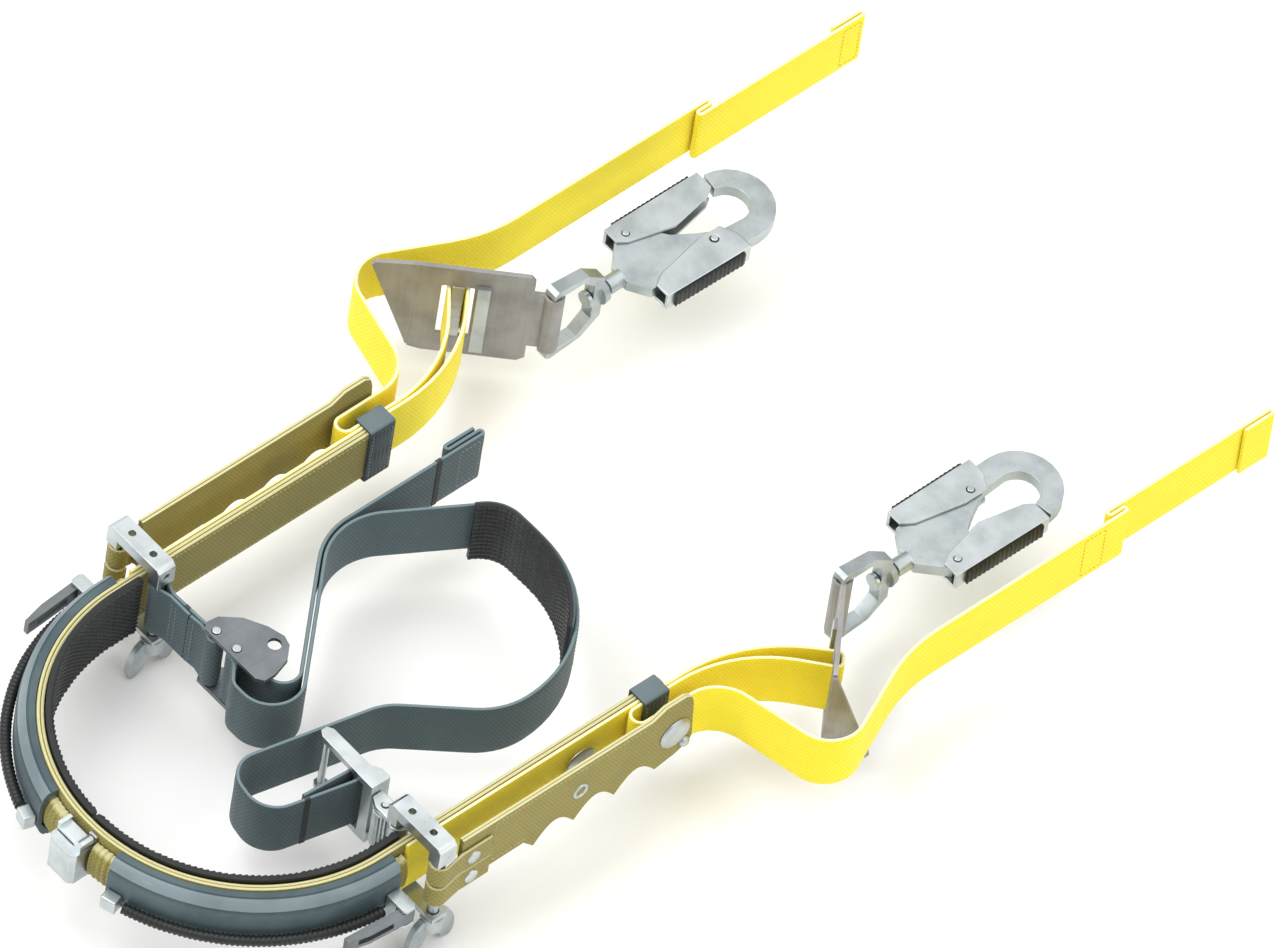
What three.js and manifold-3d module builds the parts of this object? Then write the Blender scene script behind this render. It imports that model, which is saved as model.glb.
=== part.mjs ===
// Tree and pole climbing fall-restriction belt, in millimetres, +Z up.
// A U-shaped band goes round the trunk. Its two arms carry webbing, adjuster plates and swivel snap hooks,
// and an adjustable inner strap closes the loop on the climber's side.
// +X runs along the arms towards the hooks, +Y is the climber's left, and every strap stands on edge.
import * as THREE from "three";
import { mergeVertices } from "three/addons/utils/BufferGeometryUtils.js";
import Module from "manifold-3d";

const wasm = await Module();
wasm.setup();

// ---- driving dimensions -------------------------------------------------------------------------
const WEB_WIDTH = 44.5; // 1-3/4 inch webbing, standing on edge from z = 0
const WEB_THICK = 2.4;
const MID_Z = WEB_WIDTH / 2;
const GAP = 0.3; // between touching pieces
const LAYER = 3.4; // centre to centre of two folded webbing layers

const BELLY_R = 127; // centreline of the U band
const BELLY_X = -22; // centre of its half circle
const BAND_THICK = 5;
const ARM_END_X = 206;

const CLAMP_X = 5; // centre of the clamp on each arm
const INNER_BOLT_Y = 113.5;
const OUTER_BOLT_Y = 152.5;
const BOLT_R = 3.5;

const PLATE_PIVOT = { x: 304, y: 179 }; // the adjuster plate turns on its webbing bar here
const PLATE_ALONG = { x: Math.SQRT1_2, y: -Math.SQRT1_2 }; // from its nose to its knuckle
const PLATE_THICK = 3;
const EYE_REACH = 59.8; // webbing bar to the swivel eye's bar, along the plate

const HOOK_X = 402; // back of the hook body
const HOOK_Y = PLATE_PIVOT.y + PLATE_ALONG.y * EYE_REACH;
const HOOK_THICK = 9;

// ---- materials ----------------------------------------------------------------------------------
const paint = (color, roughness, metalness) => new THREE.MeshStandardMaterial({ color, roughness, metalness });
const yellowWeb = paint(0xf5dc00, 0.8, 0);
const oliveWeb = paint(0x8f8440, 0.85, 0);
const greyWeb = paint(0x46585c, 0.85, 0);
const greyRubber = paint(0x55656a, 0.6, 0);
const blackRubber = paint(0x141717, 0.7, 0);
const steel = paint(0xc9cdcf, 0.3, 1);
const greyPlate = paint(0x8d8b88, 0.45, 0.8);

// ---- geometry helpers ---------------------------------------------------------------------------
const vec = (x, y) => new THREE.Vector2(x, y);
const degrees = THREE.MathUtils.degToRad;

// A flat route: corners [x, y, bend radius] joined by straight runs and arcs. Returns its points.
function route(corners, stepDeg = 12) {
  const points = [vec(corners[0][0], corners[0][1])];
  for (let i = 1; i < corners.length - 1; i++) {
    const [x, y, radius] = corners[i];
    const corner = vec(x, y);
    const back = vec(corners[i - 1][0], corners[i - 1][1]).sub(corner).normalize();
    const ahead = vec(corners[i + 1][0], corners[i + 1][1]).sub(corner).normalize();
    const turn = Math.PI - Math.acos(THREE.MathUtils.clamp(back.dot(ahead), -1, 1));
    const reach = radius * Math.tan(turn / 2);
    const start = corner.clone().addScaledVector(back, reach);
    const left = Math.sign(ahead.x * back.y - ahead.y * back.x);
    const centre = start.clone().add(vec(back.y, -back.x).multiplyScalar(left * radius));
    const steps = Math.max(2, Math.ceil(turn / degrees(stepDeg)));
    for (let k = 0; k <= steps; k++) points.push(start.clone().rotateAround(centre, (left * turn * k) / steps));
  }
  const last = corners[corners.length - 1];
  points.push(vec(last[0], last[1]));
  return points.filter((p, i) => i === 0 || p.distanceTo(points[i - 1]) > 0.05);
}

// The stretch of a route between two distances along it.
function stretch(points, from, to) {
  const kept = [];
  let run = 0;
  for (let i = 1; i < points.length; i++) {
    const length = points[i].distanceTo(points[i - 1]);
    for (const cut of [from, to])
      if (cut > run && cut < run + length) kept.push(points[i - 1].clone().lerp(points[i], (cut - run) / length));
    run += length;
    if (run > from && run < to) kept.push(points[i]);
  }
  return kept;
}

// Sweeps a closed profile of [offset, z] points along a flat route. The offset is to the route's right.
function sweep(points, profile) {
  const outline = profile.map(([u, v]) => vec(u, v));
  if (THREE.ShapeUtils.isClockWise(outline)) outline.reverse();
  const size = outline.length;
  const position = [];
  points.forEach((p, i) => {
    const back = i > 0 ? p.clone().sub(points[i - 1]).normalize() : null;
    const ahead = i < points.length - 1 ? points[i + 1].clone().sub(p).normalize() : null;
    const along = (back ?? ahead).clone().add(ahead ?? back).normalize();
    const widen = 1 / Math.max(0.5, along.dot(ahead ?? back));
    for (const q of outline) position.push(p.x + along.y * q.x * widen, p.y - along.x * q.x * widen, q.y);
  });
  const index = [];
  for (let i = 0; i < points.length - 1; i++)
    for (let j = 0; j < size; j++) {
      const a = i * size + j;
      const b = i * size + ((j + 1) % size);
      index.push(a, a + size, b, b, a + size, b + size);
    }
  const end = (points.length - 1) * size;
  for (const [a, b, c] of THREE.ShapeUtils.triangulateShape(outline, [])) {
    index.push(a, b, c);
    index.push(end + a, end + c, end + b);
  }
  const geometry = new THREE.BufferGeometry();
  geometry.setAttribute("position", new THREE.Float32BufferAttribute(position, 3));
  geometry.setIndex(index);
  geometry.computeVertexNormals();
  return geometry;
}

const rectangle = (u0, u1, z0, z1) => [[u0, z0], [u1, z0], [u1, z1], [u0, z1]];
const webbing = (points, z0 = 0, z1 = WEB_WIDTH, thick = WEB_THICK) =>
  sweep(points, rectangle(-thick / 2, thick / 2, z0, z1));

// A box between two corners.
function block(x0, x1, y0, y1, z0, z1) {
  return new THREE.BoxGeometry(x1 - x0, y1 - y0, z1 - z0).translate((x0 + x1) / 2, (y0 + y1) / 2, (z0 + z1) / 2);
}

// An upright cylinder.
function post(x, y, radius, z0, z1, sides = 16) {
  return new THREE.CylinderGeometry(radius, radius, z1 - z0, sides)
    .rotateX(Math.PI / 2)
    .translate(x, y, (z0 + z1) / 2);
}

// A flat outline in X and Y, raised from z0 to z1.
function slab(outline, z0, z1) {
  const shape = new THREE.Shape(outline.map(([x, y]) => vec(x, y)));
  return new THREE.ExtrudeGeometry(shape, { depth: z1 - z0, bevelEnabled: false }).translate(0, 0, z0);
}

// An outline in X and Z, spread from y0 to y1.
const panel = (outline, y0, y1) => slab(outline, -y1, -y0).rotateX(Math.PI / 2);

function solid(geometry) {
  const bare = new THREE.BufferGeometry();
  bare.setAttribute("position", geometry.getAttribute("position"));
  if (geometry.index) bare.setIndex(geometry.index);
  const merged = mergeVertices(bare, 1e-3);
  return new wasm.Manifold(
    new wasm.Mesh({
      numProp: 3,
      vertProperties: new Float32Array(merged.attributes.position.array),
      triVerts: new Uint32Array(merged.index.array),
    }),
  );
}

// Joins the first list of geometries and cuts the second list away.
function carve(added, cut = []) {
  let whole = added.map(solid).reduce((a, b) => a.add(b));
  for (const tool of cut) whole = whole.subtract(solid(tool));
  const mesh = whole.getMesh();
  const geometry = new THREE.BufferGeometry();
  geometry.setAttribute("position", new THREE.BufferAttribute(new Float32Array(mesh.vertProperties), 3));
  geometry.setIndex(new THREE.BufferAttribute(new Uint32Array(mesh.triVerts), 1));
  geometry.computeVertexNormals();
  return geometry;
}

function add(group, name, geometry, material) {
  const mesh = new THREE.Mesh(geometry, material);
  mesh.name = name;
  group.add(mesh);
  return mesh;
}

// Points of the belly line from an angle off -X (towards +Y) round to the arm, and on to an x.
function bellyLine(fromDeg, toX, toDeg = 90, steps = 14) {
  const points = [];
  for (let i = 0; i <= steps; i++) {
    const a = degrees(fromDeg + ((toDeg - fromDeg) * i) / steps);
    points.push(vec(BELLY_X - BELLY_R * Math.cos(a), BELLY_R * Math.sin(a)));
  }
  if (toX > BELLY_X) points.push(vec(toX, BELLY_R));
  return points;
}

// ---- the belly: band, liners, cores and bumpers -------------------------------------------------
// On the belly line going from the front to the left arm, an outward offset is to the left, so it is negative.
const outward = (profile) => profile.map(([u, z]) => [-u, z]);

const LINER = { from: -3.15, to: -8.65, low: -5, high: 47, end: -4 };
const CORE = { inner: 3, mid: 7, edge: 10.5, face: 11.5, low: 7, high: 37.5 };
const COVER = { inner: 3, mid: 7.5, edge: 12.5, face: 14.5, low: 1, high: 43.5 };

function domeProfile(size) {
  const { inner, mid, edge, face, low, high } = size;
  const slope = (high - low) * 0.15;
  const flat = (high - low) * 0.32;
  return [
    [inner, low],
    [mid, low],
    [edge, low + slope],
    [face, low + flat],
    [face, high - flat],
    [edge, high - slope],
    [mid, high],
    [inner, high],
  ];
}

function innerBand() {
  const corner = BELLY_X - BELLY_R;
  const points = route(
    [[ARM_END_X, BELLY_R, 0], [corner, BELLY_R, BELLY_R], [corner, -BELLY_R, BELLY_R], [ARM_END_X, -BELLY_R, 0]],
    7.5,
  );
  return webbing(points, 0, WEB_WIDTH, BAND_THICK);
}

function gripLiner() {
  return sweep(bellyLine(0.6, LINER.end), outward(rectangle(LINER.to, LINER.from, LINER.low, LINER.high)));
}

function ribbedCore() {
  return sweep(bellyLine(5.6, -7), outward(domeProfile(CORE)));
}

function bumper() {
  const shell = domeProfile(COVER);
  const grown = { inner: 3, mid: 7.4, edge: 11, face: 12, low: CORE.low - 0.6, high: CORE.high + 0.6 };
  return sweep(bellyLine(13, -16), outward([...shell, ...domeProfile(grown).reverse()]));
}

// ---- centre buckle and tension cables -----------------------------------------------------------
const BOX = { x0: -171, x1: -152, half: 12, low: 7, high: 34.8 };
const LATCH = { x0: -164, x1: -154.2, pivotY: -9, pivotZ: 38.8, barrel: 3, thick: 3, tipY: 11.8 };

function buckleBox() {
  const { x0, x1, half, low, high } = BOX;
  const outline = [[x0, -half + 3], [x0 + 3, -half], [x1, -half], [x1, half], [x0 + 3, half], [x0, half - 3]];
  const ears = [LATCH.x0 - 2, BOX.x1 - 1.7].map((x) => block(x, x + 1.7, -half, -half + 6, high - 1, 42));
  return carve([slab(outline, low, high), ...ears, latchShaft(1.5, LATCH.x0 - 1, BOX.x1 - 1)]);
}

function latchShaft(radius, x0, x1) {
  return new THREE.CylinderGeometry(radius, radius, x1 - x0, 12)
    .rotateZ(Math.PI / 2)
    .translate((x0 + x1) / 2, LATCH.pivotY, LATCH.pivotZ);
}

function latchLever() {
  const { x0, x1, pivotY, pivotZ, barrel, thick, tipY } = LATCH;
  const arm = block(x0, x1, pivotY, tipY, pivotZ - barrel + 0.1, pivotZ - barrel + 0.1 + thick);
  const lip = block(x0, x1, tipY - 3, tipY, pivotZ - barrel + 0.1, pivotZ + barrel + 1);
  return carve([arm, latchShaft(barrel, x0, x1), lip], [latchShaft(1.8, x0 - 2, x1 + 2)]);
}

const CABLE = { out: 19, radius: 4, z: 15 };

function tensionCable() {
  const ring = [];
  for (let i = 0; i < 8; i++) {
    const a = (2 * Math.PI * (i + 0.5)) / 8;
    ring.push([CABLE.out + CABLE.radius * Math.cos(a), CABLE.z + CABLE.radius * Math.sin(a)]);
  }
  return sweep(bellyLine(19.5, -30, 86, 16), outward(ring));
}

// A small steel end block that sits on the bumper's face, turned to the belly line.
function cableBlock() {
  const angle = degrees(16);
  return block(-5.5, 5.5, 14.9, 23.5, CABLE.z - 5.5, CABLE.z + 5.5)
    .translate(0, BELLY_R, 0)
    .rotateZ(Math.PI / 2 - angle)
    .translate(BELLY_X, 0, 0);
}

const TOGGLE = { pivotX: -22, y: 156.5, tipX: -68 };

function toggleBase() {
  const { pivotX: x, y } = TOGGLE;
  const ear = [[x - 5, 142], [x + 5, 142], [x + 5, y + 1], [x + 3, y + 3], [x - 3, y + 3], [x - 5, y + 1]];
  const gap = block(x - 10, x + 8, 151.2, 170, CABLE.z - 6.1, CABLE.z + 6.1);
  return carve([carve([slab(ear, CABLE.z - 8.5, CABLE.z + 8.5)], [gap]), post(x, y, 1.8, CABLE.z - 8, CABLE.z + 8, 12)]);
}

function toggleLever() {
  const { pivotX: x, y, tipX } = TOGGLE;
  const arm = [
    [x + 3.5, y - 3], [x + 3.5, y + 3], [x - 30, y + 0.5], [tipX, y - 3], [tipX, y - 6.5], [x - 30, y - 5.5],
  ];
  const window = block(tipX + 8, x - 12, y - 10, y + 10, CABLE.z - 2.5, CABLE.z + 2.5);
  return carve([slab(arm, CABLE.z - 5.5, CABLE.z + 5.5)], [window, post(x, y, 2.2, 0, 40, 12)]);
}

// ---- clamp: bridge bar, bolts, lower bar and wing nuts -------------------------------------------
const BRIDGE = { half: 7, y0: 109, y1: 158, low: 46, pocket: 54, top: 63.5 };
const LOWER_BAR = { low: -9.5, high: -5.5 };

function bridgeBar() {
  const { half, y0, y1, low, pocket, top } = BRIDGE;
  const section = [
    [y0, low], [y0 + 9, low], [y0 + 9, pocket], [y1 - 10, pocket], [y1 - 10, low], [y1, low],
    [y1, top - 3], [y1 - 3, top], [y0 + 3, top], [y0, top - 3],
  ];
  const bar = slab(section, -half, half)
    .rotateX(Math.PI / 2)
    .rotateZ(Math.PI / 2)
    .translate(CLAMP_X, 0, 0);
  const rivetHoles = [123, 143].map((y) => post(CLAMP_X, y, 2.4, pocket - 5, top + 5, 12));
  const sideHole = new THREE.CylinderGeometry(2.2, 2.2, 6, 12).translate(CLAMP_X, y0, 55);
  return carve([bar], [...rivetHoles, sideHole]);
}

function lowerBar() {
  const { y0, y1, half } = BRIDGE;
  const outline = [
    [CLAMP_X - half + 1, y0 - 2], [CLAMP_X + half - 1, y0 - 2], [CLAMP_X + half - 1, y1 + 1], [CLAMP_X - half + 1, y1 + 1],
  ];
  const holes = [INNER_BOLT_Y, OUTER_BOLT_Y].map((y) => post(CLAMP_X, y, BOLT_R + 0.5, -20, 0));
  return carve([slab(outline, LOWER_BAR.low, LOWER_BAR.high)], holes);
}

const clampBolt = (y) => post(CLAMP_X, y, BOLT_R, -20, BRIDGE.low - GAP);

const WING = { half: 7, long: 15, lean: 14 };

function wingNut(y) {
  const top = LOWER_BAR.low - GAP;
  const wing = (way) => {
    const leaf = new THREE.EllipseCurve(11, -25, WING.half, WING.long, 0, 2 * Math.PI, false, degrees(WING.lean));
    const outline = leaf.getPoints(14).slice(0, -1);
    return panel(outline.map(({ x, y: z }) => [CLAMP_X + way * x, z]), y - 2.2, y + 2.2);
  };
  return carve([post(CLAMP_X, y, 7.5, -20.6, top), wing(1), wing(-1)], [post(CLAMP_X, y, BOLT_R + 0.4, -30, top + 2)]);
}

// ---- arm: outer plate, keeper and webbing --------------------------------------------------------
const ARM = { inner: 150.5, outer: 154.5, low: 8.5, high: 53, start: 21, end: 209 };
const GRIP = { pitch: 33, first: 84, count: 3, cusp: -0.5, crest: 13 };
const TABS = [{ low: 6.5, high: 24 }, { low: 26, high: 43.5 }];

function outerPlate() {
  const { inner, outer, low, high, start, end } = ARM;
  const edge = [[start, low], [GRIP.first - 9, low + 1]];
  for (let i = 0; i < GRIP.count; i++) {
    const x = GRIP.first + i * GRIP.pitch;
    edge.push([x, GRIP.cusp]);
    for (const t of [0.2, 0.4, 0.6, 0.8]) {
      edge.push([x + t * GRIP.pitch, GRIP.cusp + (GRIP.crest - GRIP.cusp) * Math.sin(Math.PI * t)]);
    }
  }
  edge.push(
    [GRIP.first + GRIP.count * GRIP.pitch, GRIP.cusp],
    [end - 10, 3], [end + 1, 8], [end + 3, 13], [end, 48], [end - 2, 55], [end - 7, high + 5.5],
    [186, high + 5.5], [175, high], [start, high],
  );
  const tabs = TABS.map(({ low: z0, high: z1 }) => block(CLAMP_X, 45, inner + 0.5, outer + 2.6, z0, z1));
  const knuckles = TABS.map(({ low: z0, high: z1 }) => post(CLAMP_X, OUTER_BOLT_Y, 7.4, z0, z1));
  const slot = block(CLAMP_X - 12, ARM.start - 1, inner - 8, outer + 8, TABS[0].high, TABS[1].low);
  const bore = post(CLAMP_X, OUTER_BOLT_Y, BOLT_R + 0.8, -10, 60);
  const grommet = new THREE.CylinderGeometry(4, 4, 20, 16).translate(119, outer, 28);
  return carve([panel(edge, inner, outer), ...tabs, ...knuckles], [slot, bore, grommet]);
}

const RUN_A = BELLY_R + BAND_THICK / 2 + GAP + WEB_THICK / 2 + 0.2; // webbing layer next to the band
const RUN_B = RUN_A + 3; // the layer outside it
const TAIL_START_Y = 146;
const TAIL_Y = 199.5;
const KEEPER = { x0: 184, x1: 204, wall: 2 };

function keeper() {
  const { x0, x1, wall } = KEEPER;
  const y0 = BELLY_R - BAND_THICK / 2 - 0.5;
  const y1 = RUN_B + WEB_THICK / 2 + 0.5;
  return carve(
    [block(x0, x1, y0 - wall, y1 + wall, -0.5 - wall, WEB_WIDTH + 0.5 + wall)],
    [block(x0 - 5, x1 + 5, y0, y1, -0.5, WEB_WIDTH + 0.5)],
  );
}

// A point in the adjuster plate's frame: along the plate, and outward from it.
function onPlate(along, out) {
  const { x, y } = PLATE_PIVOT;
  return [x + PLATE_ALONG.x * along - PLATE_ALONG.y * out, y + PLATE_ALONG.y * along + PLATE_ALONG.x * out];
}

const WEB_BAR = { half: 4, thick: 4 };
const WRAP = { half: 6.1, out: 4.9 };

function armWebbing() {
  const foldX = 172;
  const foldR = (TAIL_START_Y - RUN_B) / 2;
  const turnR = LAYER / 2;
  const corners = [
    [-4, RUN_A, 0],
    [266, RUN_A, 110],
    [...onPlate(WRAP.half, WRAP.out), 4],
    [...onPlate(-WRAP.half, WRAP.out), 4],
    [257, RUN_B, 95],
    [foldX, RUN_B, foldR],
    [foldX, TAIL_START_Y, foldR],
    [236, 146.5, 28],
    [258, 240, 24],
    [346, TAIL_Y, 110],
    [527, TAIL_Y, turnR],
    [527, TAIL_Y - LAYER, turnR],
    [515, TAIL_Y - LAYER, turnR],
    [515, TAIL_Y - 2 * LAYER, turnR],
    [651, TAIL_Y - 2 * LAYER, turnR],
    [651, TAIL_Y - LAYER, turnR],
    [627, TAIL_Y - LAYER, 0],
  ];
  return webbing(route(corners));
}

// ---- adjuster plate and swivel eye ---------------------------------------------------------------
const WINDOW = { from: -10.5, to: 10.3 };
const NOSE = { start: -26.6, reach: 29 };
const NOSE_FOLD = { left: [4, false], right: [-97, true] }; // degrees, and whether it is upside down
const KNUCKLE = { low: -3.5, high: 48, radius: 6.6, bore: 4.7 };
const EYE_WIRE = 4;

// Places a geometry drawn with X along the plate and Y outward from it.
function placeOnPlate(geometry) {
  return geometry.rotateZ(Math.atan2(PLATE_ALONG.y, PLATE_ALONG.x)).translate(PLATE_PIVOT.x, PLATE_PIVOT.y, 0);
}

// The right plate is upside down, with its nose folded outward instead of lying nearly flat.
function adjusterPlate(fold, upsideDown) {
  const low = MID_Z - 41.5;
  const high = MID_Z + 41.5;
  const start = NOSE.start;
  const face = [
    [start, low + 2], [-18, low], [42, low], [47, low + 4], [47, KNUCKLE.low], [EYE_REACH, KNUCKLE.low],
    [EYE_REACH, KNUCKLE.high], [47, KNUCKLE.high], [47, high - 4], [44, high], [start, high],
  ];
  const nose = [[1.4, low + 6], [1.4, high], [-NOSE.reach + 2, high], [-NOSE.reach, high - 3], [-2, low + 6]];
  const body = panel(face, -PLATE_THICK / 2, PLATE_THICK / 2);
  const bent = panel(nose, -PLATE_THICK / 2, PLATE_THICK / 2).rotateZ(degrees(fold)).translate(start, 0, 0);
  const roll = post(EYE_REACH, 0, KNUCKLE.radius, KNUCKLE.low, KNUCKLE.high);
  const lockBar = block(11.5, 20.5, -PLATE_THICK / 2 - 2, 0, MID_Z - 36, MID_Z + 27);
  const window = block(WINDOW.from, WINDOW.to, -10, 10, MID_Z - 24.5, MID_Z + 24.5);
  const bore = post(EYE_REACH, 0, KNUCKLE.bore, KNUCKLE.low - 5, KNUCKLE.high + 5);
  const bend = post(start, 0, 2, low + 4, high - 1, 12);
  const plate = carve([body, bent, bend, lockBar], [window]);
  return placeOnPlate(carve([upsideDown ? turnedOver(plate) : plate, roll], [bore]));
}

// Swaps top and bottom. That leaves a geometry inside out, so its faces are turned round too.
function turnedOver(geometry) {
  geometry.scale(1, 1, -1).translate(0, 0, 2 * MID_Z);
  const index = geometry.index.array;
  for (let i = 0; i < index.length; i += 3) [index[i], index[i + 1]] = [index[i + 1], index[i]];
  return geometry;
}

function webBar() {
  const { half, thick } = WEB_BAR;
  return placeOnPlate(block(-half, half, -thick / 2, thick / 2, MID_Z - 24.2, MID_Z + 24.2));
}

const SWIVEL_R = 3.4;
const EYE = { x: onPlate(EYE_REACH, 0)[0], y: onPlate(EYE_REACH, 0)[1], reach: 38.7 };

function swivelEye() {
  const { x, y, reach } = EYE;
  const low = KNUCKLE.low - 0.6;
  const high = KNUCKLE.high + 0.6;
  const arm = 7;
  const half = 4.5;
  const frame = [
    [x - 4, low - arm + 2], [x - 1, low - arm], [x + 24, low - arm + 3], [x + reach, low + 8],
    [x + reach, high - 8], [x + 24, high + arm - 3], [x - 1, high + arm], [x - 4, high + arm - 2],
  ];
  const opening = [
    [x - 20, low], [x + 20, low], [x + reach - 8, low + 10], [x + reach - 8, high - 10], [x + 20, high], [x - 20, high],
  ];
  const ring = carve([panel(frame, y - half, y + half)], [panel(opening, y - 20, y + 20)]);
  const bar = post(x, y, EYE_WIRE, low - 1, high + 1);
  const boss = new THREE.CylinderGeometry(8, 9, 5, 16).rotateZ(-Math.PI / 2).translate(x + reach + 1.5, y, MID_Z);
  const bore = new THREE.CylinderGeometry(SWIVEL_R + 0.4, SWIVEL_R + 0.4, 30, 12);
  return carve([ring, bar, boss], [bore.rotateZ(Math.PI / 2).translate(x + reach, y, MID_Z)]);
}

// ---- snap hook -----------------------------------------------------------------------------------
const GATE_PIN = { u: 23, v: 21 };
const LOCK_PIN = { u: 65, v: -15 };
const PIN_R = 2.5;
const CHEEK = { from: HOOK_THICK / 2 + 0.4, to: HOOK_THICK / 2 + 2.4 };

const SHANK_HEAD = EYE.x + EYE.reach - 8 - 0.4 - HOOK_X; // the rivet head inside the eye

// Hook pieces are drawn at the origin: u forward, v towards the gate, z through the thickness.
const placeHook = (geometry) => geometry.translate(HOOK_X, HOOK_Y, MID_Z);

function arcPoints(cu, cv, radius, fromDeg, toDeg, steps) {
  const points = [];
  for (let i = 0; i <= steps; i++) {
    const a = degrees(fromDeg + ((toDeg - fromDeg) * i) / steps);
    points.push([cu + radius * Math.cos(a), cv + radius * Math.sin(a)]);
  }
  return points;
}

function hookBody() {
  const outline = [
    [0, 7], [0, -7], [9, -21], [58, -27.5],
    ...arcPoints(92, 0, 28.5, -90, 86, 12),
    [92, 15.8],
    ...arcPoints(91, 1.5, 14, 80, -85, 9),
    [74, -11], [60, -4], [46, 5], [34, 20], [27, 25.5], [17, 24],
  ];
  const shaft = (radius, from, to) =>
    new THREE.CylinderGeometry(radius, radius, to - from, 12).rotateZ(Math.PI / 2).translate((from + to) / 2, 0, 0);
  const shank = carve([
    shaft(6, -10.5, 2),
    shaft(SWIVEL_R, SHANK_HEAD - 1, 0),
    shaft(6, SHANK_HEAD - 3, SHANK_HEAD),
  ]);
  const holes = [GATE_PIN, LOCK_PIN].map(({ u, v }) => post(u, v, PIN_R + 0.4, -20, 20, 12));
  return placeHook(carve([slab(outline, -HOOK_THICK / 2, HOOK_THICK / 2), shank], holes));
}

// A folded sheet that straddles the hook body: two cheeks and the web that joins them along the outside.
function straddle(cheek, web, pin) {
  const cheeks = [1, -1].map((way) => slab(cheek, ...[way * CHEEK.from, way * CHEEK.to].sort((a, b) => a - b)));
  const back = slab(web, -CHEEK.to, CHEEK.to);
  return placeHook(carve([...cheeks, back], [post(pin.u, pin.v, PIN_R + 0.4, -20, 20, 12)]));
}

function hookGate() {
  const cheek = [[14, 29], [14, 19], [20, 15], [52, 7], [84, 13], [90.3, 17], [90.3, 29]];
  const web = [[14, 31], [14, 28.6], [90.3, 28.6], [90.3, 31]];
  return straddle(cheek, web, GATE_PIN);
}

function lockLever() {
  const cheek = [[12, -30], [12, -21], [20, -16], [56, -9], [74, -9], [80, -20], [80, -31]];
  const web = [[12, -32.6], [12, -30], [80, -31], [80, -33.4]];
  return straddle(cheek, web, LOCK_PIN);
}

const hookPin = ({ u, v }) => placeHook(post(u, v, PIN_R, -CHEEK.to - 1, CHEEK.to + 1, 12));

// ---- inner strap, left end: anchor strap and three-bar buckle --------------------------------------
const ANCHOR_BAR = { x: 6, y: 62 };
const STRAP_BAR = { x: 7, y: 44 };
const BAR_R = 3;

function anchorStrap() {
  const neck = 2.6;
  const loop = (cx, cy, radius, from, to) => arcPoints(cx, cy, radius, from, to, 10);
  const outline = [
    ...loop(CLAMP_X, INNER_BOLT_Y, 6.7, -50, 230),
    [CLAMP_X - neck, 102],
    [ANCHOR_BAR.x - neck, 74],
    ...loop(ANCHOR_BAR.x, ANCHOR_BAR.y, 6.2, 130, 410),
    [ANCHOR_BAR.x + neck, 74],
    [CLAMP_X + neck, 102],
  ];
  const holes = [
    post(CLAMP_X, INNER_BOLT_Y, BOLT_R + 0.6, -5, 50),
    post(ANCHOR_BAR.x, ANCHOR_BAR.y, BAR_R + 0.6, -5, 50, 12),
  ];
  return carve([slab(outline, 0, WEB_WIDTH)], holes);
}

function buckleFrame() {
  const ear = [
    [1.5, 68], [6, 71], [14, 70], [26, 60], [34, 46], [37.5, 34], [35.5, 27], [27, 19], [14, 15], [5, 15], [1.5, 20],
  ];
  const holes = [
    post(28.5, 33, 4.6, -10, 60),
    post(ANCHOR_BAR.x, ANCHOR_BAR.y, BAR_R + 0.3, -10, 60, 12),
    post(STRAP_BAR.x, STRAP_BAR.y, BAR_R + 0.3, -10, 60, 12),
  ];
  return carve([slab(ear, 46, 49), slab(ear, -5, -2), post(21, 54, 3, -3, 47, 12)], holes);
}

const buckleBar = ({ x, y }) => post(x, y, BAR_R, -6, 50, 12);

// ---- inner strap: from the right-hand frame round the pole pad to the buckle and its free tail -----
const FRAME_BAR = { x: 9, y: -70 };
const INNER_ROUTE = route([
  [-30, -63.6, 0],
  [3, -65.8, 30],
  [13.6, -65.4, 4],
  [13.6, -74.6, 4],
  [3, -74.2, 30],
  [-60, -60.5, 20],
  [-53, -17, 18],
  [56, -40, 40],
  [112.7, -88, 50],
  [221, -88, 88],
  [219, 34.5, 28],
  [124, 90, 45],
  [-9, -31.4, 22],
  [-9, 28, 10],
  [2.4, 40, 7],
  [2.4, 48.8, 4.4],
  [11.6, 48.8, 4.4],
  [11.6, -8.1, 12],
  [111.8, 83.5, 50],
  [243, 83.5, LAYER / 2],
  [243, 83.5 + LAYER, LAYER / 2],
  [216, 83.5 + LAYER, LAYER / 2],
  [216, 83.5 + 2 * LAYER, LAYER / 2],
  [240, 83.5 + 2 * LAYER, 0],
], 14);
const PAD = { from: 415, to: 545, thick: 5, low: -6, high: 49 };

function polePad() {
  const near = -WEB_THICK / 2 - GAP;
  return sweep(stretch(INNER_ROUTE, PAD.from, PAD.to), rectangle(near - PAD.thick, near, PAD.low, PAD.high));
}

function strapFrame() {
  const { x, y } = FRAME_BAR;
  const arm = [[4, -88], [19, -88], [19, -80], [15, -74], [15, -39], [12.5, -35], [8, -35], [5.5, -39], [4, -80]];
  return carve([
    slab(arm, WEB_WIDTH + 0.5, WEB_WIDTH + 5.5),
    slab(arm, -5.5, -0.5),
    block(4, 19, -88, -80, -1, 46),
    post(x, y, BAR_R, -1, 46, 12),
    post(10.3, -39, 2.5, -1, 46, 12),
  ]);
}

const DRUM = { x: 7, y: -98.4, radius: 7.8 };

function camLink() {
  const side = [[1, -112], [1, -96], [5, -88.4], [13, -88.4], [13, -104], [10, -112]];
  return carve(
    [post(CLAMP_X, -INNER_BOLT_Y, 6.8, 2, 42), slab(side, 2, 6), slab(side, 38, 42)],
    [post(CLAMP_X, -INNER_BOLT_Y, BOLT_R + 0.5, -5, 50), post(DRUM.x, DRUM.y, 2.6, -5, 50, 12)],
  );
}

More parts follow.
